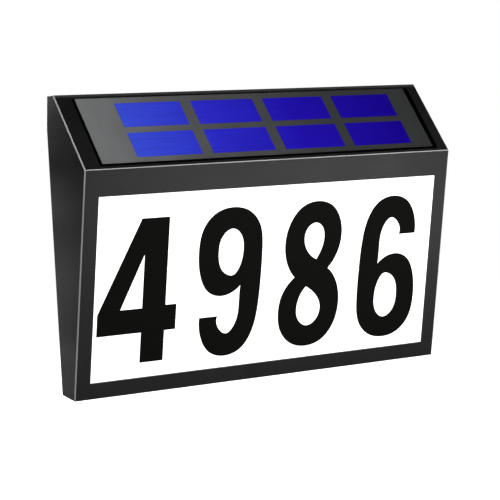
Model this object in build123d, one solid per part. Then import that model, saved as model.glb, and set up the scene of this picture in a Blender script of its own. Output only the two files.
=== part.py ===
from build123d import *
import math
import os

os.makedirs("parts", exist_ok=True)

# Illuminated house number sign, wall mounted, millimetres.
# Working frame: X right, Y towards the wall (wall plane at y = 0), Z up from the
# lower front edge. At export Z is shifted so that the origin lies midway between
# the round entries of the two keyholes.

# ---------------------------------------------------------------- dimensions
width = 290.0            # outside width
sheet = 1.2              # housing sheet
edge_r = 0.7             # outside fold radius
back_bottom = 3.1        # height of the lower back edge
back_knee = 176.0        # where the back leaves the wall plane
back_relief = 2.15       # how far the top back edge stands off the wall
top_z = 191.75           # top ledge
ledge_front = 10.0       # front edge of the ledge, from the wall
nose_y, nose_z = 44.65, 144.25   # furthest forward edge
chin_y = 15.05           # lower front edge, from the wall

win_w, win_h = 268.3, 119.5      # window opening
win_bottom = 10.5                # from the lower front edge, along the face
win_lap = 3.5                    # diffuser flange behind the opening
dif_flange, dif_face = 2.5, 0.4  # flange thickness, face set back
seal_t = 0.5
retainer_t = 1.0
stud_r = 1.25

panel_w, panel_l = 265.0, 52.3   # solar panel
panel_shift = 1.7                # panel's middle, right of the sign's middle
gap_x, gap_lo, gap_hi = 2.3, 1.9, 0.6   # gap round the panel: sides, front, back
slope_lo = 2.3                   # opening's front edge on the slope
tray_t, tray_w = 2.0, 285.0
cell_w, cell_l = 48.8, 19.05     # visible cells, 4 by 2
cell_px, cell_py = 57.15, 23.8
cell_shift = 5.4                 # middle of the cells, right of the panel's middle
numeral_t = 0.25

plate_t = 1.5            # back plate
key_z = 150.0            # keyhole entry height
key_x = 100.0            # keyholes at plus and minus this
key_r = 4.5              # entry hole
key_neck = 2.5           # half width of the slot
key_rise = 8.0           # slot length

hinge_z, hinge_r = 131.0, 2.2    # battery door barrel
door_x, door_half = -30.0, 34.0
door_top = 157.0
pin_r = 1.0

sw_y, sw_z = -18.5, 150.0        # push switch axis, right wall
sw_r = 6.0
button_r = 4.03
button_travel = 1.5

hw = width / 2


# ------------------------------------------------------------------- helpers
def put(name, *shapes):
    part = shapes[0]
    for s in shapes[1:]:
        part = part + s
    part = Pos(0, 0, -key_z) * part
    export_step(part, f"parts/{name}.step")


def box(x0, x1, y0, y1, z0, z1):
    return Pos((x0 + x1) / 2, (y0 + y1) / 2, (z0 + z1) / 2) * Box(
        abs(x1 - x0), abs(y1 - y0), abs(z1 - z0)
    )


def slab(plane, x0, x1, y0, y1, z0, z1):
    return plane * box(x0, x1, y0, y1, z0, z1)


def rod(plane, x, y, z0, z1, r):
    return plane * Pos(x, y, (z0 + z1) / 2) * Cylinder(r, abs(z1 - z0))


def rod_x(y, z, x0, x1, r):
    return Pos((x0 + x1) / 2, y, z) * Rot(0, 90, 0) * Cylinder(r, abs(x1 - x0))


def rod_y(x, z, y0, y1, r):
    return Pos(x, (y0 + y1) / 2, z) * Rot(90, 0, 0) * Cylinder(r, abs(y1 - y0))


def rod_z(x, y, z0, z1, r):
    return Pos(x, y, (z0 + z1) / 2) * Cylinder(r, abs(z1 - z0))


def yz_prism(points, x0, x1):
    # closed outline in (y, z), extruded along X
    face = make_face(Polyline(*[(x0, y, z) for y, z in points], close=True).edges())
    return extrude(face, amount=x1 - x0, dir=(1, 0, 0))


def hexagon(plane, x, y, z0, z1, across, bore, turn=0.0):
    r = across / 2 / math.cos(math.pi / 6)
    pts = [
        (r * math.cos(math.radians(turn + 60 * k)), r * math.sin(math.radians(turn + 60 * k)))
        for k in range(6)
    ]
    face = make_face(Polyline(*pts, close=True).edges())
    nut = Pos(x, y, z0) * extrude(face, amount=z1 - z0, dir=(0, 0, 1))
    nut -= Pos(x, y, (z0 + z1) / 2) * Cylinder(bore, (z1 - z0) + 2)
    return plane * nut


def tube(points, radii, r):
    path = FilletPolyline(*points, radius=radii) if len(points) > 2 else Line(*points)
    return sweep(Plane(origin=path @ 0, z_dir=path % 0) * Circle(r), path=path)


def inset(points, d):
    # moves every side of an anticlockwise outline inward by d
    n = len(points)
    lines = []
    for i in range(n):
        (x0, y0), (x1, y1) = points[i], points[(i + 1) % n]
        dx, dy = x1 - x0, y1 - y0
        ln = math.hypot(dx, dy)
        nx, ny = -dy / ln, dx / ln
        lines.append((nx, ny, nx * x0 + ny * y0 + d))
    out = []
    for i in range(n):
        a, b = lines[i - 1], lines[i]
        det = a[0] * b[1] - a[1] * b[0]
        out.append(((a[2] * b[1] - a[1] * b[2]) / det, (a[0] * b[2] - a[2] * b[0]) / det))
    return out


# --------------------------------------------------------- profile and planes
P0 = (0.0, back_bottom)
P1 = (0.0, back_knee)
P2 = (-back_relief, top_z)
P3 = (-ledge_front, top_z)
P4 = (-nose_y, nose_z)
P5 = (-chin_y, 0.0)
profile = [P0, P1, P2, P3, P4, P5]          # anticlockwise in (y, z)

face_len = math.dist(P4, P5)
slope_len = math.dist(P3, P4)
fu = ((P4[0] - P5[0]) / face_len, (P4[1] - P5[1]) / face_len)
su = ((P3[0] - P4[0]) / slope_len, (P3[1] - P4[1]) / slope_len)
# local x right, local y up the surface, local z outward
front = Plane(origin=(0, *P5), x_dir=(1, 0, 0), z_dir=(0, -fu[1], fu[0]))
slope = Plane(origin=(0, *P4), x_dir=(1, 0, 0), z_dir=(0, -su[1], su[0]))
win_top = win_bottom + win_h
slope_hi = slope_lo + gap_lo + panel_l + gap_hi
panel_y0, panel_y1 = slope_lo + gap_lo, slope_hi - gap_hi
px0, px1 = panel_shift - panel_w / 2, panel_shift + panel_w / 2
cell_x, cell_y = panel_shift + cell_shift, (panel_y0 + panel_y1) / 2

# ------------------------------------------------------------------- housing
outer = yz_prism(profile, -hw, hw)
rim = [e for e in outer.edges() if not (abs(e.position_at(0).Y) < 0.01 and abs(e.position_at(1).Y) < 0.01)]
outer = fillet(rim, edge_r)
inner = inset(profile, sheet)
# the cavity runs out through the open back, below the top back flange
q = inner[:]
cav = [
    (1.0, inner[0][1] + (1.0 + sheet) * (inner[0][1] - inner[5][1]) / (inner[0][0] - inner[5][0])),
    (1.0, back_knee),
    (inner[1][0], back_knee),
    inner[1],
    inner[2],
    inner[3],
    inner[4],
    inner[5],
]
cav_points = [cav[0], cav[1], (-sheet * 1.01, back_knee), inner[2], inner[3], inner[4], inner[5]]
cavity = yz_prism(cav_points, -hw + sheet, hw - sheet)
housing = outer - cavity
housing -= slab(front, -win_w / 2, win_w / 2, win_bottom, win_top, -3, 3)
housing -= slab(slope, px0 - gap_x, px1 + gap_x, slope_lo, slope_hi, -3, 3)
housing -= rod_x(sw_y, sw_z, hw - 4, hw + 2, sw_r + 0.1)
floor_dir = Plane(origin=(0, -7.5, 0.0), x_dir=(1, 0, 0), z_dir=(0, fu[0], fu[1]))
for x in (-62.0, 62.0):
    housing -= rod(floor_dir, x, 0, -6, 8, 2.0)
put("housing", housing)

# ------------------------------------------------- window, seal and retainer
flange_x = win_w / 2 + win_lap
fl_y0, fl_y1 = win_bottom - win_lap, win_top + win_lap
z_fl = -sheet - seal_t
diffuser = slab(front, -flange_x, flange_x, fl_y0, fl_y1, z_fl - dif_flange, z_fl)
raised = slab(front, -win_w / 2 + 0.3, win_w / 2 - 0.3, win_bottom + 0.3, win_top - 0.3, z_fl, -dif_face)
raised = chamfer(raised.faces().sort_by(lambda f: f.center().Y)[0].edges(), 0.2)
diffuser = diffuser + raised
put("diffuser", diffuser)

seal = slab(front, -flange_x, flange_x, fl_y0, fl_y1, z_fl, -sheet)
seal -= slab(front, -win_w / 2 + 0.1, win_w / 2 - 0.1, win_bottom + 0.1, win_top - 0.1, -4, 2)
put("diffuser_gasket", seal)

z_rt = z_fl - dif_flange
stud_side_x = hw - 4.0
stud_lo, stud_hi = 4.0, win_top + 6.4
stud_at = [(x, stud_lo, 0.0) for x in (-100.0, 0.0, 100.0)]
stud_at += [(x, stud_hi, 0.0) for x in (-100.0, 0.0, 100.0)]
stud_at += [(s * stud_side_x, y, 30.0) for s in (-1, 1) for y in (40.0, 100.0)]
retainer = slab(front, -hw + 1.7, hw - 1.7, 1.7, win_top + 9.9, z_rt - retainer_t, z_rt)
retainer -= slab(front, -win_w / 2, win_w / 2, win_bottom, win_top, -8, 0)
for x, y, _ in stud_at:
    retainer -= rod(front, x, y, -8, 0, stud_r + 0.15)
put("diffuser_retainer", retainer)

tray_z = -sheet * 2
tray_studs = [(s * (hw - 6.0), y) for s in (-1, 1) for y in (11.0, 46.5)]
tray_lo, tray_hi = 0.9, 58.0
studs = [rod(front, x, y, -8.0, -sheet, stud_r) for x, y, _ in stud_at]
studs += [rod(slope, x, y, -8.0, -sheet, 1.5) for x, y in tray_studs]
put("weld_studs", *studs)
put("retainer_nuts", *[hexagon(front, x, y, z_rt - retainer_t - 2.0, z_rt - retainer_t, 5.0, stud_r + 0.02, t) for x, y, t in stud_at])

# ------------------------------------------------------------------ numerals
num_z0, num_z1 = -dif_face, -dif_face + numeral_t
glyph_w, glyph_h = 49.9, 99.3


def spline_loop(pieces):
    edges = []
    for pts in pieces:
        edges.append(Spline(*pts) if len(pts) > 2 else Line(*pts))
    return make_face(edges)


def at(points):
    return [(x * glyph_w, (1 - y) * glyph_h) for x, y in points]


def eight():
    notch_l, notch_r = (0.236, 0.514), (0.778, 0.468)
    upper = [notch_l, (0.104, 0.42), (0.048, 0.285), (0.113, 0.14), (0.30, 0.032), (0.54, 0.0),
             (0.785, 0.034), (0.942, 0.14), (0.974, 0.26), (0.907, 0.38), notch_r]
    lower = [notch_r, (0.908, 0.54), (0.984, 0.64), (0.996, 0.74), (0.934, 0.86), (0.74, 0.968),
             (0.49, 1.0), (0.225, 0.967), (0.039, 0.86), (0.0, 0.74), (0.036, 0.64), (0.135, 0.56), notch_l]
    face = spline_loop([at(upper), at(lower)])
    tip = (0.578, 0.40)
    face -= spline_loop([at([tip, (0.423, 0.34), (0.359, 0.255), (0.40, 0.182), (0.53, 0.147), (0.648, 0.18),
                             (0.688, 0.25), (0.652, 0.335), tip])])
    tip = (0.432, 0.583)
    face -= spline_loop([at([tip, (0.60, 0.645), (0.684, 0.715), (0.668, 0.795), (0.49, 0.857), (0.325, 0.80),
                             (0.297, 0.73), (0.335, 0.65), tip])])
    return face


def six():
    outline = [(0.935, 0.275), (0.905, 0.15), (0.75, 0.035), (0.52, 0.0), (0.27, 0.035), (0.10, 0.145),
               (0.025, 0.30), (0.0, 0.50), (0.0, 0.715), (0.06, 0.875), (0.24, 0.97), (0.49, 1.0),
               (0.75, 0.97), (0.935, 0.875), (0.996, 0.72), (0.95, 0.55), (0.82, 0.445), (0.63, 0.41),
               (0.46, 0.425), (0.315, 0.475)]
    inside = [(0.315, 0.475), (0.325, 0.33), (0.375, 0.21), (0.50, 0.152), (0.615, 0.185), (0.655, 0.275)]
    end = [(0.655, 0.275), (0.935, 0.275)]
    face = spline_loop([at(outline), at(inside), at(end)])
    hole = [(0.49, 0.543), (0.645, 0.60), (0.69, 0.705), (0.64, 0.81), (0.49, 0.857), (0.345, 0.81),
            (0.30, 0.705), (0.345, 0.60)]
    face -= make_face(Spline(*at(hole), periodic=True).edges())
    return face


def four():
    outline = [(33.2, 0), (53.6, 0), (53.6, 57.5), (61.9, 57.5), (61.9, 74.1), (53.6, 74.1), (53.6, 94.0),
               (36.3, 94.0), (36.3, 74.1), (3.6, 74.1), (3.6, 60.0)]
    hole = [(36.3, 23.0), (36.3, 58.2), (20.0, 58.2)]
    flip = lambda pts: [(x, 94.0 - y) for x, y in pts]
    return make_face(Polyline(*flip(outline), close=True).edges()) - make_face(Polyline(*flip(hole), close=True).edges())


def numeral(face, x, y):
    # lower left corner of the glyph box, from the window's lower left corner
    solid = extrude(face, amount=numeral_t, dir=(0, 0, 1))
    return front * Pos(-win_w / 2 + x, win_bottom + y, num_z0) * solid


nine = Pos(glyph_w, glyph_h, 0) * Rot(0, 0, 180) * six()
put("digit_1", numeral(four(), -0.75, 10.0))
put("digit_2", numeral(nine, 76.1, 7.85))
put("digit_3", numeral(eight(), 142.0, 7.85))
put("digit_4", numeral(six(), 207.6, 7.85))

# --------------------------------------------------------------- solar panel
cover_top, cover_t, cell_t, board_t = -0.1, 1.1, 0.15, 0.95
cover_low = cover_top - cover_t
cell_top = cover_low - 0.05      # thin air gap over the cells
board_top = cell_top - cell_t
tray_top = board_top - board_t
cover = slab(slope, px0, px1, panel_y0, panel_y1, cover_low, cover_top)
cover = chamfer(cover.faces().sort_by(lambda f: f.center().Z - f.center().Y)[-1].edges(), 0.35)
put("solar_cover", cover)

cell_at = [
    (cell_x + cell_px * (i - 1.5), cell_y + cell_py * (j - 0.5)) for j in (0, 1) for i in range(4)
]
put("solar_cells", *[
    slab(slope, x - cell_w / 2, x + cell_w / 2, y - cell_l / 2, y + cell_l / 2, board_top, cell_top) for x, y in cell_at
])
ribbons = []
for j in (0, 1):
    y = cell_y + cell_py * (j - 0.5)
    for i in range(3):
        x = cell_x + cell_px * (i - 1)
        for dy in (-4.0, 4.0):
            # the ribbons run under the board, from cell to cell
            ribbons.append(slab(slope, x - 7.0, x + 7.0, y + dy - 0.5, y + dy + 0.5, tray_top, tray_top + 0.1))
ribbon_cut = ribbons[0]
for r in ribbons[1:]:
    ribbon_cut += r
board = slab(slope, px0, px1, panel_y0, panel_y1, tray_top, board_top) - ribbon_cut
put("cell_ribbons", *ribbons)
put("solar_board", board)

tray = slab(slope, -tray_w / 2, tray_w / 2, tray_lo, tray_hi, tray_z - tray_t, tray_z)
for y in (10.0, 28.0, 46.0):
    tray += slab(slope, -120, 120, y - 0.8, y + 0.8, tray_z - tray_t - 2.0, tray_z - tray_t)
for x, y in tray_studs:
    tray -= rod(slope, x, y, -12, 0, 1.7)
lead_y = 22.0
for x in (29.1, 30.9):
    tray -= rod(slope, x, lead_y, -12, 0, 0.75)
put("solar_tray", tray)
gasket = slab(slope, -tray_w / 2, tray_w / 2, tray_lo, tray_hi, tray_z, -sheet)
gasket += slab(slope, px0 - gap_x, px1 + gap_x, slope_lo, slope_hi, -sheet, -0.2)
gasket -= slab(slope, px0, px1, panel_y0, panel_y1, -4, 2)
for x, y in tray_studs:
    gasket -= rod(slope, x, y, -12, 0, 1.6)
put("panel_gasket", gasket)
put("tray_nuts", *[hexagon(slope, x, y, tray_z - tray_t - 2.4, tray_z - tray_t, 5.5, 1.52) for x, y in tray_studs])

# -------------------------------------------------------------- back closure
ring_t, ring_w, gask_t = 1.2, 14.0, 0.8
ring_y1 = -plate_t - gask_t
ring_y0 = ring_y1 - ring_t
ring_top, ring_bot = 166.0, 12.0
ring = box(-hw, hw, ring_y0, ring_y1, 0, 183.5)
ring -= box(-hw + sheet + ring_w, hw - sheet - ring_w, ring_y0 - 1, ring_y1 + 1, ring_bot, ring_top)
for s in (-1, 1):
    ring += box(s * (hw - 2 * sheet), s * (hw - sheet), ring_y1 - 7.2, ring_y1, 16, 176)
ring = ring & cavity
screw_at = [(s * (hw - 5.0), z) for s in (-1, 1) for z in (20.0, 92.0, 160.0)]
screw_at += [(x, z) for z in (8.0, 171.0) for x in (-50.0, 50.0)]
rivet_at = [(s * (hw - 12.0), z) for s in (-1, 1) for z in (30.0, 75.0, 118.0)]
for x, z in screw_at:
    ring -= rod_y(x, z, -8, 0, 1.3)
for x, z in rivet_at:
    ring -= rod_y(x, z, -8, 0, 1.55)
put("back_frame", ring)

floor_at_plate = inner[0][1] - 0.1
plate_x, plate_z0, plate_z1 = hw - sheet - 0.3, 4.7, back_knee - 0.3
bg = box(-plate_x, plate_x, ring_y1, -plate_t, plate_z0, plate_z1)
bg -= box(-hw + sheet + ring_w, hw - sheet - ring_w, -4, 0, ring_bot, ring_top)
for x, z in screw_at:
    bg -= rod_y(x, z, -8, 0, 1.5)
put("back_gasket", bg)

plate = box(-plate_x, plate_x, -plate_t, 0, plate_z0, plate_z1)
plate = fillet(plate.edges().filter_by(Axis.Y), 1.0)
door_gap = 0.3
plate -= box(door_x - door_half - door_gap, door_x + door_half + door_gap, -4, 1, hinge_z - hinge_r - door_gap, door_top + door_gap)
for s in (-1, 1):
    ear = box(door_x + s * (door_half + door_gap), door_x + s * (door_half + door_gap + 1.5), -5.2, -plate_t, hinge_z - 3.0, hinge_z + 2.6)
    ear -= rod_x(-hinge_r, hinge_z, door_x - 50, door_x + 50, pin_r + 0.02)
    plate += ear
plate -= rod_x(-hinge_r, hinge_z, door_x - door_half - 2.4, door_x + door_half + 2.4, pin_r + 0.02)
for s in (-1, 1):
    plate -= rod_y(s * key_x, key_z, -6, 2, key_r)
    plate -= box(s * key_x - key_neck, s * key_x + key_neck, -6, 2, key_z, key_z + key_rise)
    plate -= rod_y(s * key_x, key_z + key_rise, -6, 2, key_neck)
for x, z in screw_at:
    plate -= rod_y(x, z, -8, 2, 1.5)
    plate -= Pos(x, -0.65, z) * Rot(90, 0, 0) * Cone(1.3, 2.6, 1.3)
put("back_plate", plate)

screws = []
for x, z in screw_at:
    s = rod_y(x, z, -8.0, -1.0, 1.25)
    s += Pos(x, -0.7, z) * Rot(90, 0, 0) * Cone(1.25, 2.4, 1.2)
    s -= box(x - 1.3, x + 1.3, -0.65, 0.5, z - 0.25, z + 0.25)
    s -= box(x - 0.25, x + 0.25, -0.65, 0.5, z - 1.3, z + 1.3)
    screws.append(s)
put("back_plate_screws", *screws)

# cups behind the keyholes
pockets = []
pk_x, pk_z0, pk_z1, pk_y, pk_t = 5.8, key_z - 5.8, key_z + key_rise + 5.8, -9.0, 0.8
for s in (-1, 1):
    c = s * key_x
    cup = box(c - pk_x - pk_t, c + pk_x + pk_t, pk_y - pk_t, -plate_t, pk_z0 - pk_t, pk_z1 + pk_t)
    cup = fillet(cup.edges().filter_by(Axis.Y), 2.0)
    cup -= box(c - pk_x, c + pk_x, pk_y, 0, pk_z0, pk_z1)
    cup += box(c - pk_x - 5, c - pk_x - pk_t / 2, -plate_t - pk_t, -plate_t, pk_z0 + 3, pk_z1 - 3)
    cup += box(c + pk_x + pk_t / 2, c + pk_x + 5, -plate_t - pk_t, -plate_t, pk_z0 + 3, pk_z1 - 3)
    pockets.append(cup)
put("keyhole_pockets", *pockets)

# ------------------------------------------------------ battery compartment
bx0, bx1, bz0, bz1 = door_x - 28.5, door_x + 28.5, 135.8, 151.4
by0, bt = -18.6, 1.6
fl_front = -plate_t - 1.0
bat_y, bat_z, bat_r = -11.0, 143.0, 7.1
fx0, fx1, fz0, fz1 = door_x - 39.0, door_x + 39.0, hinge_z + hinge_r + 0.5, 160.0
bbox = box(bx0 - bt, bx1 + bt, by0 - bt, fl_front, bz0 - bt, bz1 + bt)
bbox += box(fx0, fx1, fl_front - 1.5, fl_front, fz0, fz1)
bbox -= box(bx0, bx1, by0, 0, bz0, bz1)
lead_by, lead_bz = -17.6, 136.8
bbox -= rod_x(lead_by, lead_bz, bx1 - 1, bx1 + bt + 1, 0.75)
bbox -= box(bx1 - 1, bx1 + bt + 1, bat_y - 1.1, bat_y + 1.1, bat_z - 0.3, bat_z + 0.3)
put("battery_box", bbox)
bseal = box(fx0, fx1, fl_front, -plate_t, fz0, fz1) - box(bx0, bx1, -6, 0, bz0, bz1)
put("battery_seal", bseal)

cell0, cell1 = bx0 + 6.1, bx1 - 1.4
battery = rod_x(bat_y, bat_z, cell0, cell1, bat_r)
battery = fillet(battery.edges(), 0.6)
battery += rod_x(bat_y, bat_z, cell1, cell1 + 1.0, 2.75)
put("battery", battery)
contact = box(bx1 - 0.4, bx1, bat_y - 4.5, bat_y + 4.5, bat_z - 4.5, bat_z + 4.5)
contact += box(bx1 - 0.2, bx1 + bt + 1.4, bat_y - 1.0, bat_y + 1.0, bat_z - 0.2, bat_z + 0.2)
put("battery_contact", contact)
coil_r, wire_r = 3.8, 0.35
s_len = cell0 - (bx0 + 0.4) - 2 * wire_r
coil = Helix(pitch=s_len / 3, height=s_len, radius=coil_r, center=(bx0 + 0.4 + wire_r, bat_y, bat_z), direction=(1, 0, 0))
spring = sweep(Plane(origin=coil @ 0, z_dir=coil % 0) * Circle(wire_r), path=coil, is_frenet=True)
put("battery_spring", spring, box(bx0, bx0 + 0.4, bat_y - 4.5, bat_y + 4.5, bat_z - 4.5, bat_z + 4.5))

# door: panel and full-width barrel on a pin
door = box(door_x - door_half, door_x + door_half, -plate_t, 0, hinge_z, door_top)
door += rod_x(-hinge_r, hinge_z, door_x - door_half + 0.3, door_x + door_half - 0.3, hinge_r)
door -= rod_x(-hinge_r, hinge_z, door_x - 60, door_x + 60, pin_r + 0.06)
door += rod_x(-plate_t / 2, door_top, door_x - 12, door_x + 12, 0.25)
door -= Pos(door_x, 5.2, door_top - 5.0) * Rot(0, 90, 0) * Cylinder(6.0, 16.0)
put("battery_door", door)
put("door_hinge_pin", rod_x(-hinge_r, hinge_z, door_x - door_half - 2.2, door_x + door_half + 2.2, pin_r))

# ------------------------------------------------------------------ lightbox
ref_x, ref_t, ref_bot, ref_top = hw - 8.5, 0.8, 12.2, 128.0
ref_y1 = ring_y0
top_front = -34.4
ref = box(-ref_x, ref_x, ref_y1 - ref_t, ref_y1, ref_bot, ref_top)
ref += box(-ref_x, ref_x, top_front, ref_y1, ref_top - ref_t, ref_top)
ref += box(-ref_x, ref_x, -11.2, ref_y1, ref_bot, ref_bot + ref_t)


def behind_face(z, depth):
    return -chin_y + fu[0] / fu[1] * z + depth / fu[1]


wing = [(ref_y1, ref_bot), (ref_y1, ref_top), (behind_face(ref_top, 8.2), ref_top), (behind_face(ref_bot, 8.2), ref_bot)]
for s in (-1, 1):
    ref += yz_prism(wing, min(s * ref_x, s * (ref_x - ref_t)), max(s * ref_x, s * (ref_x - ref_t)))
for x, z in rivet_at:
    ref -= rod_y(x, z, -8, 0, 1.55)
led_y0, led_y1, led_x = -28.0, -20.0, 121.0
led_rivets = [-80.0, 0.0, 80.0]
for x in led_rivets:
    ref -= rod_z(x, -24, 120, 130, 1.3)
ref -= box(13.5, 22.5, -26.5, -21.0, 125, 130)
put("reflector", ref)
rivets = []
for x, z in rivet_at:
    r = rod_y(x, z, ref_y1 - ref_t, ring_y1, 1.5)
    head = rod_y(x, z, ref_y1 - ref_t - 0.8, ref_y1 - ref_t, 2.4)
    head = fillet(head.edges().sort_by(Axis.Y)[0], 0.5)
    rivets.append(r + head)
put("reflector_rivets", *rivets)

led_board = box(-led_x, led_x, led_y0, led_y1, ref_top - ref_t - 1.0, ref_top - ref_t)
for x in led_rivets:
    led_board -= rod_z(x, -24, 120, 130, 1.3)
put("led_board", led_board)
lz = ref_top - ref_t - 1.0
put("leds", *[
    chamfer(box(x - 2.5, x + 2.5, -26.5, -21.5, lz - 1.6, lz).edges().filter_by(Axis.Z), 0.4) for x in (-100.0, -60.0, -20.0, 20.0, 60.0, 100.0)
])
led_rv = []
for x in led_rivets:
    led_rv.append(rod_z(x, -24, lz, ref_top, 1.25) + rod_z(x, -24, lz - 0.6, lz, 2.2) + rod_z(x, -24, ref_top, ref_top + 0.6, 2.2))
put("led_board_rivets", *led_rv)

# ------------------------------------------------------------- control board
cb = (25.0, 80.0, -30.0, -8.0)
cb_z0, cb_t = 132.0, 1.6
cb_z1 = cb_z0 + cb_t
corners = [(28.5, -27.5), (76.5, -27.5), (28.5, -10.5), (76.5, -10.5)]
pcb = box(*cb, cb_z0, cb_z1)
for x, y in corners:
    pcb -= rod_z(x, y, 130, 136, 1.1)
put("control_board", pcb)
put("board_standoffs", *[rod_z(x, y, ref_top, cb_z0, 2.5) - rod_z(x, y, ref_top + 0.5, cb_z0 + 1, 1.02) for x, y in corners])
put("board_screws", *[
    (rod_z(x, y, ref_top + 1.0, cb_z1, 1.0) + rod_z(x, y, cb_z1, cb_z1 + 1.3, 1.9)) - box(x - 1.2, x + 1.2, y - 0.25, y + 0.25, cb_z1 + 0.6, cb_z1 + 2)
    for x, y in corners
])
chip = box(44, 49, -22, -18, cb_z1, cb_z1 + 1.5)
for k in range(4):
    for s in (-1, 1):
        chip += box(44.4 + 1.27 * k, 44.8 + 1.27 * k, -20 + s * 1.9, -20 + s * 3.0, cb_z1, cb_z1 + 0.25)
put("charge_chip", chip)
ind = rod_z(56.5, -20, cb_z1, cb_z1 + 4.5, 3.6)
ind -= rod_z(56.5, -20, cb_z1 + 1.0, cb_z1 + 3.5, 4.5) - rod_z(56.5, -20, cb_z1 + 0.5, cb_z1 + 4.0, 3.0)
put("inductor", ind)
put("capacitors", *[fillet(rod_z(66.0, y, cb_z1, cb_z1 + 7.0, 3.15).edges(), 0.4) for y in (-23.5, -14.5)])
jacks = [box(27.5, 32.5, -24.5, -19.5, cb_z1, cb_z1 + 5), box(27.5, 32.5, -18.5, -13.5, cb_z1, cb_z1 + 5),
         box(37.0, 42.0, -14.0, -9.0, cb_z1, cb_z1 + 5), box(72.5, 77.5, -24.5, -19.5, cb_z1, cb_z1 + 5)]
put("wire_connectors", *[chamfer(j.edges().filter_by(Axis.Z), 0.5) for j in jacks])

# -------------------------------------------------------------------- switch
sx = hw
big_r, big_x0, neck_x, flange_x0, flange_x1 = 5.0, sx - 13.5, sx - 5.0, sx + 0.6, sx + 1.8
body = rod_x(sw_y, sw_z, sx - 15.5, flange_x0, sw_r) + rod_x(sw_y, sw_z, flange_x0, flange_x1, 8.0)
body = fillet(body.edges().filter_by(GeomType.CIRCLE).sort_by(Axis.X)[-1], 0.5)
body -= rod_x(sw_y, sw_z, big_x0, neck_x, big_r)
body -= rod_x(sw_y, sw_z, neck_x - 1, flange_x1 + 1, button_r + 0.07)
for s in (-1, 1):
    body += box(sx - 20.0, sx - 15.5, sw_y - 1.0, sw_y + 1.0, sw_z + s * 2.5 - 0.3, sw_z + s * 2.5 + 0.3)
put("switch_body", body)
put("switch_seal", rod_x(sw_y, sw_z, sx, flange_x0, 7.4) - rod_x(sw_y, sw_z, sx - 1, flange_x0 + 1, sw_r))
sw_plane = Plane(origin=(0, sw_y, sw_z), x_dir=(0, 1, 0), z_dir=(1, 0, 0))
put("switch_nut", hexagon(sw_plane, 0, 0, sx - sheet - 2.5, sx - sheet, 14.0, sw_r + 0.02))
collar_x1 = neck_x - 0.2
button = rod_x(sw_y, sw_z, collar_x1 - 1.5, collar_x1, big_r - 0.1) + rod_x(sw_y, sw_z, collar_x1 - 2.5, flange_x1 + 2.2, button_r)
button = fillet(button.edges().filter_by(GeomType.CIRCLE).sort_by(Axis.X)[-1], 0.6)
put("power_button", button)
b_len = (collar_x1 - 2.5) - big_x0 - 0.6
bcoil = Helix(pitch=b_len / 4, height=b_len, radius=3.2, center=(big_x0 + 0.3, sw_y, sw_z), direction=(1, 0, 0))
put("button_spring", sweep(Plane(origin=bcoil @ 0, z_dir=bcoil % 0) * Circle(0.28), path=bcoil, is_frenet=True))

# --------------------------------------------------------------------- leads
lead_r = 0.7


def slope_point(x, y, z):
    v = slope.from_local_coords((x, y, z))
    return (v.X, v.Y, v.Z)


# panel leads: out of the tray, down to the board
solar = []
for x in (29.1, 30.9):
    a = slope_point(x, lead_y, board_top - board_t)
    b = slope_point(x, lead_y, board_top - board_t - 9.0)
    solar.append(tube([a, b, (x, -22.0, cb_z1 + 15.0), (x, -22.0, cb_z1 + 5.0)], [5.0, 8.0], lead_r))
put("solar_wires", *solar)
put("battery_wires",
    tube([(bx0 + 2.5, lead_by, lead_bz), (27.5, lead_by, lead_bz)], [], lead_r),
    tube([(bx1 + bt + 1.4, bat_y, bat_z), (9.0, bat_y, bat_z), (18.0, -14.6, lead_bz), (27.5, -14.6, lead_bz)], [5.0, 5.0], lead_r))
off = (-0.47, 0.77)
put("led_wires", *[
    tube([(18 + s * off[0], -23.5 + s * off[1], ref_top - ref_t), (18 + s * off[0], -23.5 + s * off[1], 142.0),
          (28.0 + s * off[0], -18.0 + s * off[1], 150.0), (39.5 + s * off[0], -11.5 + s * off[1], 148.0),
          (39.5 + s * off[0], -11.5 + s * off[1], cb_z1 + 5.0)], [6.0, 6.0, 4.5], lead_r) for s in (-1, 1)
])
put("switch_wires", *[
    tube([(sx - 20.0, sw_y, sw_z + s * 2.5), (sx - 30.0, sw_y, sw_z + s * 1.8), (sx - 47.0, -22.0 + s * 0.9, 136.5), (77.5, -22.0 + s * 0.9, 136.3)],
         [7.0, 10.0], lead_r) for s in (-1, 1)
])
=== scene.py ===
import math

import bpy
from mathutils import Matrix, Vector


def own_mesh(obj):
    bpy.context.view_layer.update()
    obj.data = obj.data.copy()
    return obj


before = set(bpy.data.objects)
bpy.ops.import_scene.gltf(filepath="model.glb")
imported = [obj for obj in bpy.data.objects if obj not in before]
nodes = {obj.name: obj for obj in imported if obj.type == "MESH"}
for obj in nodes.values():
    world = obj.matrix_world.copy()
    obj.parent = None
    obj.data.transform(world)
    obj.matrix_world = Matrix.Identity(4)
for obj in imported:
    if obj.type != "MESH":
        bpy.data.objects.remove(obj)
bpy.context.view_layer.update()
scene = bpy.context.scene

# ------------------------------------------------------------------- camera
cam_data = bpy.data.cameras.new("camera")
cam_data.sensor_width = 36.0
cam_data.lens = 140.5567
cam_data.clip_start, cam_data.clip_end = 0.05, 50.0
cam_data.dof.use_dof = False
camera = bpy.data.objects.new("camera", cam_data)
scene.collection.objects.link(camera)
camera.matrix_world = Matrix((
    (0.822031, 0.071903, -0.564886, -0.736997),
    (-0.566953, 0.010668, -0.823681, -1.080789),
    (-0.053199, 0.997354, 0.049535, -0.000547),
    (0.0, 0.0, 0.0, 1.0),
))
scene.camera = camera
scene.view_settings.view_transform = "Standard"
scene.view_settings.look = "None"

# profile of the housing in the row frame, metres: (y, z)
LEDGE = (-0.010, 0.04175)
NOSE = (-0.04465, -0.00575)
CHIN = (-0.01505, -0.150)
HALF = 0.145


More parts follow.
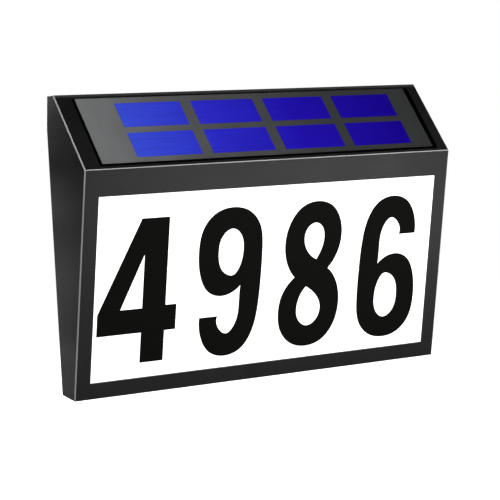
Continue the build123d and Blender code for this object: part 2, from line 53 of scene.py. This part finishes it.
def unit(v):
    n = math.sqrt(sum(x * x for x in v))
    return tuple(x / n for x in v)


slope_up = unit((0.0, LEDGE[0] - NOSE[0], LEDGE[1] - NOSE[1]))
slope_out = (0.0, -slope_up[2], slope_up[1])
face_up = unit((0.0, NOSE[0] - CHIN[0], NOSE[1] - CHIN[1]))
face_out = (0.0, -face_up[2], face_up[1])


# ------------------------------------------------------------ node helpers
class Mat:
    """One material: a Principled shader and short names for the nodes that feed it."""

    def __init__(self, name, **sockets):
        self.mat = bpy.data.materials.new(name)
        self.mat.use_nodes = True
        self.nt = self.mat.node_tree
        self.nt.nodes.clear()
        self.out = self.nt.nodes.new("ShaderNodeOutputMaterial")
        self.p = self.nt.nodes.new("ShaderNodeBsdfPrincipled")
        self.nt.links.new(self.p.outputs[0], self.out.inputs["Surface"])
        for key, value in sockets.items():
            self.set(key.replace("_", " "), value)
        self._coord = None

    def set(self, socket, value):
        s = self.p.inputs[socket]
        if hasattr(value, "is_output"):
            self.nt.links.new(value, s)
        elif isinstance(value, (tuple, list)) and len(value) == 3:
            s.default_value = (*value, 1.0)
        else:
            s.default_value = value

    def link(self, a, b):
        if hasattr(a, "is_output"):
            self.nt.links.new(a, b)
        else:
            b.default_value = a

    def coord(self):
        if self._coord is None:
            self._coord = self.nt.nodes.new("ShaderNodeTexCoord").outputs["Object"]
        return self._coord

    def mapped(self, scale=(1, 1, 1), rotation=(0, 0, 0), location=(0, 0, 0)):
        m = self.nt.nodes.new("ShaderNodeMapping")
        m.inputs["Scale"].default_value = scale
        m.inputs["Rotation"].default_value = rotation
        m.inputs["Location"].default_value = location
        self.nt.links.new(self.coord(), m.inputs["Vector"])
        return m.outputs[0]

    def noise(self, scale, detail=2.0, rough=0.5, vector=None, distortion=0.0):
        n = self.nt.nodes.new("ShaderNodeTexNoise")
        n.inputs["Scale"].default_value = scale
        n.inputs["Detail"].default_value = detail
        n.inputs["Roughness"].default_value = rough
        n.inputs["Distortion"].default_value = distortion
        self.nt.links.new(vector or self.coord(), n.inputs["Vector"])
        return n.outputs["Fac"]

    def voronoi(self, scale, feature="F1", vector=None, output="Distance", random=1.0):
        n = self.nt.nodes.new("ShaderNodeTexVoronoi")
        n.feature = feature
        n.inputs["Scale"].default_value = scale
        n.inputs["Randomness"].default_value = random
        self.nt.links.new(vector or self.coord(), n.inputs["Vector"])
        return n.outputs[output]

    def wave(self, scale, direction="X", distortion=0.0, detail=1.0, detail_scale=1.0, vector=None, profile="SIN"):
        n = self.nt.nodes.new("ShaderNodeTexWave")
        n.bands_direction = direction
        n.wave_profile = profile
        n.inputs["Scale"].default_value = scale
        n.inputs["Distortion"].default_value = distortion
        n.inputs["Detail"].default_value = detail
        n.inputs["Detail Scale"].default_value = detail_scale
        self.nt.links.new(vector or self.coord(), n.inputs["Vector"])
        return n.outputs["Fac"]

    def remap(self, value, lo, hi, a=0.0, b=1.0, smooth=False):
        n = self.nt.nodes.new("ShaderNodeMapRange")
        n.interpolation_type = "SMOOTHSTEP" if smooth else "LINEAR"
        n.clamp = True
        self.nt.links.new(value, n.inputs["Value"])
        n.inputs["From Min"].default_value = a
        n.inputs["From Max"].default_value = b
        n.inputs["To Min"].default_value = lo
        n.inputs["To Max"].default_value = hi
        return n.outputs["Result"]

    def ramp(self, value, stops, mode="LINEAR"):
        n = self.nt.nodes.new("ShaderNodeValToRGB")
        n.color_ramp.interpolation = mode
        els = n.color_ramp.elements
        els[0].position, els[0].color = stops[0][0], (*stops[0][1], 1.0)
        els[1].position, els[1].color = stops[-1][0], (*stops[-1][1], 1.0)
        for pos, col in stops[1:-1]:
            e = els.new(pos)
            e.color = (*col, 1.0)
        self.nt.links.new(value, n.inputs["Fac"])
        return n.outputs["Color"]

    def math(self, op, a, b=0.0, clamp=False):
        n = self.nt.nodes.new("ShaderNodeMath")
        n.operation = op
        n.use_clamp = clamp
        self.link(a, n.inputs[0])
        self.link(b, n.inputs[1])
        return n.outputs[0]

    def mix(self, fac, a, b, blend="MIX"):
        n = self.nt.nodes.new("ShaderNodeMix")
        n.data_type = "RGBA"
        n.blend_type = blend
        self.link(fac, n.inputs["Factor"])
        for value, index in ((a, 6), (b, 7)):
            if isinstance(value, (tuple, list)):
                n.inputs[index].default_value = (*value[:3], 1.0)
            else:
                self.nt.links.new(value, n.inputs[index])
        return n.outputs[2]

    def axis(self, name):
        n = self.nt.nodes.new("ShaderNodeSeparateXYZ")
        self.nt.links.new(self.coord(), n.inputs[0])
        return n.outputs[name]

    def along(self, direction, origin=(0.0, 0.0, 0.0)):
        """Distance in metres along a direction, from a point, in the piece's own frame."""
        n = self.nt.nodes.new("ShaderNodeVectorMath")
        n.operation = "DOT_PRODUCT"
        n.inputs[1].default_value = direction
        self.nt.links.new(self.coord(), n.inputs[0])
        off = sum(a * b for a, b in zip(direction, origin))
        return self.math("SUBTRACT", n.outputs["Value"], off)

    def bump(self, height, strength, distance, normal=None):
        n = self.nt.nodes.new("ShaderNodeBump")
        n.inputs["Strength"].default_value = strength
        n.inputs["Distance"].default_value = distance
        self.nt.links.new(height, n.inputs["Height"])
        if normal is not None:
            self.nt.links.new(normal, n.inputs["Normal"])
        return n.outputs["Normal"]


def grey(v):
    return (v, v, v)


# ---------------------------------------------------------------- materials
def powder_coat(name, dark, light, rough_lo, rough_hi, spec, highlight_tone=None):
    m = Mat(name, Specular_IOR_Level=spec)
    grain = m.noise(2600.0, 3.0, 0.6)
    patch = m.noise(34.0, 3.0, 0.55)
    tone = m.ramp(m.math("ADD", m.math("MULTIPLY", grain, 0.45), m.math("MULTIPLY", patch, 0.55)),
                  [(0.36, dark), (0.64, light)])
    if highlight_tone is not None:
        # painted highlight: the narrow strip between the panel's opening and the ledge fold is painted a lighter tone
        up, depth = m.along(slope_up, (0.0, *NOSE)), m.along(slope_out, (0.0, *NOSE))
        highlight_mask = m.math("MULTIPLY", m.remap(up, 0.0, 1.0, 0.0568, 0.0571), m.remap(up, 1.0, 0.0, 0.0583, 0.0586))
        tone = m.mix(m.math("MULTIPLY", highlight_mask, m.remap(depth, 0.0, 1.0, -0.0010, -0.0006)), tone, highlight_tone)
    m.set("Base Color", tone)
    m.set("Roughness", m.remap(m.math("ADD", m.math("MULTIPLY", m.noise(900.0, 2.0), 0.4), m.math("MULTIPLY", patch, 0.6)),
                               rough_lo, rough_hi, 0.3, 0.7))
    m.set("Normal", m.bump(grain, 0.18, 0.00002))
    return m.mat


paint = powder_coat("black_powder_coat", (0.0054, 0.0054, 0.0056), (0.0068, 0.0068, 0.0070), 0.35, 0.43, 0.5)
# the housing's black coat, with a painted highlight on the strip below the ledge fold
housing_paint_and_highlight = powder_coat("black_powder_coat_housing_and_painted_highlight", (0.0054, 0.0054, 0.0056), (0.0068, 0.0068, 0.0070), 0.35, 0.43, 0.5, (0.045, 0.045, 0.0455))
paint_back = powder_coat("black_powder_coat_back", (0.014, 0.014, 0.0142), (0.019, 0.019, 0.0193), 0.48, 0.58, 0.5)
# painted highlights: light grey paints for the folded edges, standing in for the light the rounded folds catch
highlight_paint_nose = powder_coat("painted_highlight_nose", (0.55, 0.55, 0.552), (0.66, 0.66, 0.662), 0.28, 0.36, 0.6)
highlight_paint_slope_edge = powder_coat("painted_highlight_slope_edge", (0.45, 0.45, 0.452), (0.54, 0.54, 0.542), 0.28, 0.36, 0.6)
highlight_paint_face_edge = powder_coat("painted_highlight_face_edge", (0.37, 0.37, 0.372), (0.45, 0.45, 0.452), 0.28, 0.36, 0.6)


def sheet_zinc(name):
    m = Mat(name, Metallic=1.0)
    spangle = m.voronoi(260.0, output="Color")
    bw = m.nt.nodes.new("ShaderNodeRGBToBW")
    m.nt.links.new(spangle, bw.inputs[0])
    fine = m.noise(1500.0, 3.0)
    tone = m.math("ADD", m.math("MULTIPLY", bw.outputs[0], 0.6), m.math("MULTIPLY", fine, 0.4))
    m.set("Base Color", m.ramp(tone, [(0.2, (0.44, 0.45, 0.47)), (0.8, (0.62, 0.63, 0.65))]))
    m.set("Roughness", m.remap(tone, 0.28, 0.44, 0.2, 0.8))
    m.set("Normal", m.bump(fine, 0.2, 0.00002))
    return m.mat


def bright_steel(name, base=(0.56, 0.56, 0.57), rough=(0.2, 0.34)):
    m = Mat(name, Metallic=1.0)
    lines = m.noise(1.0, 3.0, 0.6, m.mapped(scale=(500.0, 5200.0, 5200.0)))
    spots = m.noise(700.0, 2.0)
    m.set("Base Color", m.ramp(m.math("ADD", m.math("MULTIPLY", lines, 0.6), m.math("MULTIPLY", spots, 0.4)),
                               [(0.3, tuple(0.82 * c for c in base)), (0.7, tuple(min(1.0, 1.1 * c) for c in base))]))
    m.set("Roughness", m.remap(lines, rough[0], rough[1], 0.3, 0.7))
    m.set("Normal", m.bump(lines, 0.12, 0.00001))
    return m.mat


def rubber(name, base=0.006, spec=0.16, top=None):
    m = Mat(name, Specular_IOR_Level=spec)
    n = m.noise(3200.0, 3.0, 0.65)
    tone = m.ramp(n, [(0.3, grey(0.7 * base)), (0.7, grey(1.4 * base))])
    if top is not None:
        # painted shade: the narrow run below the ledge is painted less dark than the rest of the gap
        tone = m.mix(m.remap(m.along(slope_up, (0.0, *NOSE)), 0.0, 1.0, 0.0558, 0.0562), tone, grey(top))
    m.set("Base Color", tone)
    m.set("Roughness", m.remap(m.noise(600.0, 2.0), 0.62, 0.8, 0.3, 0.7))
    m.set("Normal", m.bump(n, 0.3, 0.00003))
    return m.mat


def opal_window(name):
    # milk-white acrylic, lit from behind by the lamp row at its top edge
    m = Mat(name, Roughness=0.3, Specular_IOR_Level=0.4)
    cloud = m.noise(55.0, 3.0, 0.5)
    m.set("Base Color", m.ramp(cloud, [(0.3, (0.90, 0.90, 0.90)), (0.7, (0.94, 0.94, 0.94))]))
    height = m.along(face_up, (0.0, CHIN[0], CHIN[1]))
    low = m.remap(height, 1.02, 1.20, 0.010, 0.130)
    m.set("Emission Color", m.ramp(cloud, [(0.3, (1.0, 0.998, 0.993)), (0.7, (1.0, 1.0, 1.0))]))
    m.set("Emission Strength", low)
    m.set("Normal", m.bump(m.noise(420.0, 2.0), 0.05, 0.00004))
    return m.mat


def vinyl(name):
    m = Mat(name, Specular_IOR_Level=0.05)
    n = m.noise(2400.0, 3.0, 0.6)
    m.set("Base Color", m.ramp(n, [(0.3, (0.0040, 0.0040, 0.0035)), (0.7, (0.0050, 0.0050, 0.0044))]))
    m.set("Roughness", m.remap(m.noise(160.0, 2.0), 0.48, 0.6, 0.3, 0.7))
    m.set("Normal", m.bump(n, 0.25, 0.00002))
    return m.mat


def clear_cover(name):
    # thin clear plate: gloss by Fresnel over a plain view of what lies below
    m = Mat(name, Metallic=1.0, Base_Color=(0.96, 0.97, 1.0))
    haze = m.noise(300.0, 2.0)
    m.set("Roughness", m.remap(haze, 0.10, 0.16, 0.3, 0.7))
    m.set("Normal", m.bump(m.noise(38.0, 2.0), 0.05, 0.0001))
    clear = m.nt.nodes.new("ShaderNodeBsdfTransparent")
    clear.inputs["Color"].default_value = (0.950, 0.955, 0.960, 1.0)
    fresnel = m.nt.nodes.new("ShaderNodeFresnel")
    fresnel.inputs["IOR"].default_value = 1.26
    # only the outside faces mirror, since nothing is bent inside the plate
    geometry = m.nt.nodes.new("ShaderNodeNewGeometry")
    outside = m.math("SUBTRACT", 1.0, geometry.outputs["Backfacing"])
    mix = m.nt.nodes.new("ShaderNodeMixShader")
    m.nt.links.new(m.math("MULTIPLY", fresnel.outputs[0], outside), mix.inputs[0])
    m.nt.links.new(clear.outputs[0], mix.inputs[1])
    m.nt.links.new(m.p.outputs[0], mix.inputs[2])
    m.nt.links.new(mix.outputs[0], m.out.inputs["Surface"])
    return m.mat


def solar_cell(name):
    m = Mat(name, Roughness=0.3, Specular_IOR_Level=0.1, Coat_Weight=0.25, Coat_Roughness=0.08)
    # painted light: the blue is lighter at the left end and darkens towards the right, a painted fade of the light
    # across the panel
    x = m.remap(m.axis("X"), 0.0, 1.0, -0.103, 0.117)
    blue = m.ramp(x, [
        (0.0, (0.067, 0.115, 0.97)),
        (0.30, (0.037, 0.033, 0.77)),
        (0.60, (0.021, 0.0078, 0.54)),
        (1.0, (0.0112, 0.0016, 0.32)),
    ])
    # grid fingers run up the slope, with fainter streaks across them
    finger = m.ramp(m.wave(1.0 / 0.0022 * 0.31831 * 0.5, "X"), [(0.90, grey(0.0)), (0.985, grey(1.0))])
    streak = m.noise(1.0, 3.0, 0.6, m.mapped(scale=(26.0, 900.0, 900.0)))
    blue = m.mix(m.remap(streak, 0.0, 0.22, 0.45, 0.75), blue, (0.008, 0.002, 0.20))
    bw = m.nt.nodes.new("ShaderNodeRGBToBW")
    m.nt.links.new(finger, bw.inputs[0])
    m.set("Base Color", m.mix(m.math("MULTIPLY", bw.outputs[0], 0.12), blue, (0.04, 0.03, 0.60)))
    m.set("Normal", m.bump(streak, 0.05, 0.00002))
    return m.mat


def panel_board(name):
    m = Mat(name, Roughness=0.4, Specular_IOR_Level=0.12)
    # painted light: the grey is lighter at the left end and darker towards the right, a painted fade of the light
    # across the board
    x = m.remap(m.axis("X"), 0.0, 1.0, -0.1308, 0.1342)
    tone = m.ramp(x, [
        (0.0, (0.284, 0.284, 0.281)),
        (0.30, (0.128, 0.128, 0.126)),
        (0.70, (0.057, 0.058, 0.057)),
        (1.0, (0.047, 0.047, 0.046)),
    ])
    weave = m.noise(2600.0, 2.0)
    cloud = m.noise(60.0, 3.0)
    m.set("Base Color", m.mix(m.remap(m.math("ADD", m.math("MULTIPLY", weave, 0.5), m.math("MULTIPLY", cloud, 0.5)), 0.0, 0.22, 0.35, 0.65), tone, (0.03, 0.03, 0.028)))
    m.set("Normal", m.bump(weave, 0.15, 0.00002))
    return m.mat


def moulded(name, base, rough=(0.45, 0.58), spec=0.4, grain=1800.0, bump=0.2):
    m = Mat(name, Specular_IOR_Level=spec)
    n = m.noise(grain, 3.0, 0.6)
    m.set("Base Color", m.ramp(n, [(0.3, tuple(0.82 * c for c in base)), (0.7, tuple(min(1.0, 1.15 * c) for c in base))]))
    m.set("Roughness", m.remap(m.noise(grain * 0.3, 2.0), rough[0], rough[1], 0.3, 0.7))
    m.set("Normal", m.bump(n, bump, 0.00003))
    return m.mat


def circuit(name, base, copper):
    m = Mat(name, Specular_IOR_Level=0.5, Coat_Weight=0.3, Coat_Roughness=0.2)
    grid = m.voronoi(210.0, random=0.35, output="Color")
    bw = m.nt.nodes.new("ShaderNodeRGBToBW")
    m.nt.links.new(grid, bw.inputs[0])
    lanes = m.wave(160.0, "X", distortion=1.2, detail=1.0, detail_scale=30.0)
    trace = m.remap(m.math("MULTIPLY", lanes, bw.outputs[0]), 0.0, 1.0, 0.42, 0.50)
    m.set("Base Color", m.mix(trace, base, copper))
    m.set("Roughness", m.remap(m.noise(700.0, 2.0), 0.3, 0.42, 0.3, 0.7))
    m.set("Normal", m.bump(trace, 0.3, 0.00003))
    return m.mat


def striped(name, base, mark, scale, axis="X"):
    m = Mat(name, Specular_IOR_Level=0.5)
    band = m.wave(scale, axis)
    m.set("Base Color", m.mix(m.remap(band, 0.0, 1.0, 0.86, 0.90), base, mark))
    m.set("Roughness", m.remap(m.noise(500.0, 2.0), 0.26, 0.4, 0.3, 0.7))
    m.set("Normal", m.bump(m.noise(900.0, 2.0), 0.1, 0.00003))
    return m.mat


def lamp(name):
    m = Mat(name, Roughness=0.3, Specular_IOR_Level=0.5)
    y = m.noise(500.0, 2.0)
    m.set("Base Color", m.ramp(y, [(0.3, (0.88, 0.80, 0.42)), (0.7, (0.95, 0.90, 0.62))]))
    m.set("Emission Color", (1.0, 0.97, 0.9))
    m.set("Emission Strength", 1.5)
    m.set("Normal", m.bump(y, 0.1, 0.00002))
    return m.mat


zinc = sheet_zinc("zinc_steel")
steel = bright_steel("steel")
aluminium = bright_steel("aluminium_rivet", (0.78, 0.78, 0.79), (0.26, 0.4))
brass = bright_steel("brass", (0.74, 0.54, 0.22), (0.2, 0.32))
tin = bright_steel("tin_ribbon", (0.42, 0.42, 0.43), (0.35, 0.5))
black_rubber = rubber("black_rubber")
# painted shade: the gap gasket is nearly black with almost no gloss, the shade of the gap painted into it
gap_shade_rubber = rubber("black_rubber_painted_gap_shade", 0.0005, 0.01, 0.02)
opal = opal_window("opal_acrylic")
sticker = vinyl("black_vinyl")
cover = clear_cover("clear_cover")
cell = solar_cell("blue_cell")
board = panel_board("grey_board")
abs_black = moulded("black_abs", (0.012, 0.012, 0.012))
gloss_black = moulded("black_gloss_plastic", (0.010, 0.010, 0.010), (0.18, 0.28), 0.5, 900.0, 0.06)
red_cap = moulded("button_red", (0.42, 0.018, 0.016), (0.28, 0.38), 0.5, 1200.0, 0.08)
white_paint = moulded("white_reflector", (0.86, 0.86, 0.85), (0.5, 0.65), 0.3, 1500.0, 0.15)
white_mask = moulded("white_board", (0.82, 0.82, 0.80), (0.32, 0.42), 0.5, 1500.0, 0.08)
green = circuit("green_board", (0.008, 0.120, 0.040), (0.030, 0.220, 0.075))
ferrite = moulded("ferrite", (0.055, 0.054, 0.058), (0.5, 0.65), 0.4, 2200.0, 0.3)
sleeve = striped("capacitor_sleeve", (0.016, 0.018, 0.055), (0.35, 0.36, 0.38), 95.0, "Y")
nylon = moulded("cream_nylon", (0.70, 0.65, 0.53), (0.4, 0.52), 0.45, 1300.0, 0.12)
wrap = striped("battery_wrap", (0.050, 0.230, 0.070), (0.62, 0.63, 0.60), 18.0, "X")
wire_red = moulded("wire_red", (0.36, 0.018, 0.016), (0.4, 0.5), 0.45, 1600.0, 0.1)
wire_white = moulded("wire_white", (0.66, 0.66, 0.64), (0.4, 0.5), 0.45, 1600.0, 0.1)
led_mat = lamp("led")

finish_of = {
    "housing": housing_paint_and_highlight, "back_plate": paint_back, "battery_door": paint_back, "door_hinge_pin": steel,
    "back_frame": zinc, "weld_studs": zinc, "keyhole_pockets": zinc, "diffuser_retainer": zinc,
    "back_gasket": black_rubber, "panel_gasket": gap_shade_rubber, "battery_seal": black_rubber,
    "diffuser_gasket": black_rubber, "switch_seal": black_rubber,
    "back_plate_screws": steel, "retainer_nuts": steel, "tray_nuts": steel, "board_screws": steel,
    "battery_spring": steel, "button_spring": steel, "battery_contact": steel,
    "led_board_rivets": aluminium, "reflector_rivets": aluminium,
    "diffuser": opal, "digit_1": sticker, "digit_2": sticker, "digit_3": sticker, "digit_4": sticker,
    "solar_cover": cover, "solar_cells": cell, "solar_board": board, "cell_ribbons": tin, "solar_tray": abs_black,
    "reflector": white_paint, "led_board": white_mask, "leds": led_mat, "control_board": green,
    "board_standoffs": brass, "charge_chip": abs_black, "inductor": ferrite, "capacitors": sleeve,
    "wire_connectors": nylon, "battery_box": abs_black, "battery": wrap, "switch_body": gloss_black,
    "switch_nut": brass, "power_button": red_cap,
    "solar_wires": wire_red, "battery_wires": wire_red, "led_wires": wire_white, "switch_wires": wire_white,
}
for name, obj in nodes.items():
    obj.data.materials.clear()
    obj.data.materials.append(finish_of[name])


# the folded corners get a light grey paint, a painted highlight along each fold
def near_line(c, a, b, reach):
    a, b = Vector(a), Vector(b)
    d = b - a
    t = max(0.0, min(1.0, (c - a).dot(d) / d.length_squared))
    return (a + d * t - c).length < reach


edges = [((-HALF, *NOSE), (HALF, *NOSE), highlight_paint_nose)]
for s in (-1, 1):
    edges.append(((s * HALF, *LEDGE), (s * HALF, *NOSE), highlight_paint_slope_edge))
    edges.append(((s * HALF, *NOSE), (s * HALF, *CHIN), highlight_paint_face_edge))
flats = [Vector(n) for n in ((1, 0, 0), (0, 0, 1), (0, 1, 0), slope_out, face_out)]
house = nodes["housing"].data
slots = {}
for a, b, edge_highlight in edges:
    if edge_highlight not in slots:
        slots[edge_highlight] = len(house.materials)
        house.materials.append(edge_highlight)
for poly in house.polygons:
    n = poly.normal
    if max(abs(n.dot(f)) for f in flats) > 0.9995:
        continue
    for a, b, edge_highlight in edges:
        if near_line(poly.center, a, b, 0.0012):
            poly.material_index = slots[edge_highlight]
            break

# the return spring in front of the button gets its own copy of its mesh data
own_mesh(nodes["button_spring"])

# --------------------------------------------------------------- the stage
floor_mesh = bpy.data.meshes.new("floor")
r, z = 3.0, -0.26
floor_mesh.from_pydata([(-r, -r, z), (r, -r, z), (r, r, z), (-r, r, z)], [], [(0, 1, 2, 3)])
floor = bpy.data.objects.new("floor", floor_mesh)
scene.collection.objects.link(floor)
floor_mat = bpy.data.materials.new("floor")
floor_mat.use_nodes = True
ft = floor_mat.node_tree
ft.nodes.clear()
f_out = ft.nodes.new("ShaderNodeOutputMaterial")
f_p = ft.nodes.new("ShaderNodeBsdfPrincipled")
f_p.inputs["Base Color"].default_value = (0.92, 0.92, 0.92, 1.0)
f_p.inputs["Roughness"].default_value = 0.9
f_p.inputs["Emission Color"].default_value = (1.0, 1.0, 1.0, 1.0)
f_p.inputs["Emission Strength"].default_value = 1.0
f_clear = ft.nodes.new("ShaderNodeBsdfTransparent")
f_geo = ft.nodes.new("ShaderNodeNewGeometry")
f_mix = ft.nodes.new("ShaderNodeMixShader")
ft.links.new(f_geo.outputs["Backfacing"], f_mix.inputs[0])
ft.links.new(f_p.outputs[0], f_mix.inputs[1])
ft.links.new(f_clear.outputs[0], f_mix.inputs[2])
ft.links.new(f_mix.outputs[0], f_out.inputs["Surface"])
floor_mesh.materials.append(floor_mat)
floor.visible_glossy = False
floor.visible_diffuse = False
floor.visible_shadow = False

# ------------------------------------------------------------------ lights
world = bpy.data.worlds.new("studio")
scene.world = world
world.use_nodes = True
wt = world.node_tree
wt.nodes.clear()
w_out = wt.nodes.new("ShaderNodeOutputWorld")
w_seen = wt.nodes.new("ShaderNodeBackground")
w_seen.inputs["Color"].default_value = (1.0, 1.0, 1.0, 1.0)
w_seen.inputs["Strength"].default_value = 1.0
w_light = wt.nodes.new("ShaderNodeBackground")
w_light.name = "ambient"
w_light.inputs["Color"].default_value = (1.0, 1.0, 1.0, 1.0)
w_light.inputs["Strength"].default_value = 0.0
w_path = wt.nodes.new("ShaderNodeLightPath")
w_mix = wt.nodes.new("ShaderNodeMixShader")
wt.links.new(w_path.outputs["Is Camera Ray"], w_mix.inputs[0])
wt.links.new(w_light.outputs[0], w_mix.inputs[1])
wt.links.new(w_seen.outputs[0], w_mix.inputs[2])
wt.links.new(w_mix.outputs[0], w_out.inputs["Surface"])


def area(name, at, aim, size, radiance, size_y=None):
    """A soft box at a point, facing another, whose face has this radiance."""
    data = bpy.data.lights.new(name, "AREA")
    data.shape = "RECTANGLE"
    data.size, data.size_y = size, size_y or size
    data.energy = radiance * math.pi * data.size * data.size_y
    obj = bpy.data.objects.new(name, data)
    scene.collection.objects.link(obj)
    obj.location = at
    obj.rotation_mode = "QUATERNION"
    obj.rotation_quaternion = (Vector(aim) - Vector(at)).to_track_quat("-Z", "Y")
    obj.visible_camera = False
    return obj


# soft boxes: at, aimed at, size, radiance
LIGHTS = [
    ("nose", (0.4528, -0.6598, 0.2303), (0.0, -0.0446, -0.0057), 0.5, 6.297, 0.12),
    ("nose_left", (0.183, -0.4291, 0.1418), (-0.1, -0.0446, -0.0057), 0.12, 7.432, 0.08),
    ("nose_right", (0.383, -0.4291, 0.1418), (0.1, -0.0446, -0.0057), 0.12, 1.723, 0.08),
    ("nose_middle", (0.283, -0.4291, 0.1418), (0.0, -0.0446, -0.0057), 0.12, 14.284, 0.08),
    ("front_top_left", (-0.8, -0.9, 0.7), (0.0, -0.02, -0.06), 0.8, 5.200),
    ("front_upper_left", (0.1347, -0.3736, -0.179), (-0.12, -0.042, -0.012), 0.13, 1.743),
    ("front_middle_left", (0.1347, -0.3617, -0.247), (-0.12, -0.03, -0.08), 0.13, 0.147),
    ("front_upper_middle", (0.2547, -0.3736, -0.179), (0.0, -0.042, -0.012), 0.13, 0.778),
    ("front_upper_right", (0.3747, -0.3736, -0.179), (0.12, -0.042, -0.012), 0.13, 3.331),
    ("side_1", (-0.1903, 0.1208, -0.1041), (-0.145, 0.055, -0.1), 0.045, 1.040),
    ("side_2", (-0.1903, 0.0958, -0.0641), (-0.145, 0.03, -0.06), 0.045, 0.700),
    ("side_3", (-0.1705, 0.067, -0.0223), (-0.145, 0.03, -0.02), 0.025, 0.847),
    ("side_4", (-0.1705, 0.067, 0.0177), (-0.145, 0.03, 0.02), 0.025, 0.601),
    ("side_5", (-0.1705, 0.067, 0.0477), (-0.145, 0.03, 0.05), 0.025, 1.716),
    ("side_6", (-0.162, 0.0197, 0.0265), (-0.145, -0.005, 0.028), 0.016, 0.051),
    ("side_7", (-0.1733, 0.0411, -0.1400), (-0.145, 0.0, -0.1375), 0.03, 0.620, 0.044),
    ("side_8", (-0.1733, 0.0411, -0.0026), (-0.145, 0.0, 0.0), 0.03, 0.095),
    ("side_9", (-0.1676, 0.0279, -0.0320), (-0.145, -0.005, -0.030), 0.016, 0.260),
    ("under", (0.2, -0.3, -1.1), (0.0, -0.02, -0.06), 0.9, 1.200),
    ("back", (0.0, 1.25, 0.5), (0.0, -0.02, -0.06), 0.26, 12.000, 1.1),
    ("back_low", (0.0, 1.25, -0.6), (0.0, -0.02, -0.06), 0.26, 8.000, 1.0),
    ("left", (-1.1, 0.0, 0.15), (0.0, -0.02, -0.06), 0.7, 0.500),
    ("left_front", (-0.95, -0.5, -0.35), (0.0, -0.02, -0.06), 0.5, 0.500),
    ("back_high", (0.0, 0.95, 0.95), (0.0, -0.02, -0.06), 0.26, 14.000, 0.4),
    ("under_back", (0.0, 0.6, -1.0), (0.0, -0.02, -0.06), 0.26, 5.000, 0.8),
    ("right_back", (1.1, 0.5, -0.1), (0.0, -0.02, -0.06), 0.9, 1.800),
    ("right_low", (1.1, -0.1, -0.3), (0.0, -0.02, -0.06), 0.7, 0.800),
    ("front", (0.0, -1.05, -0.62), (0.0, -0.02, -0.06), 0.5, 0.800),
]
for spec in LIGHTS:
    area(*spec)
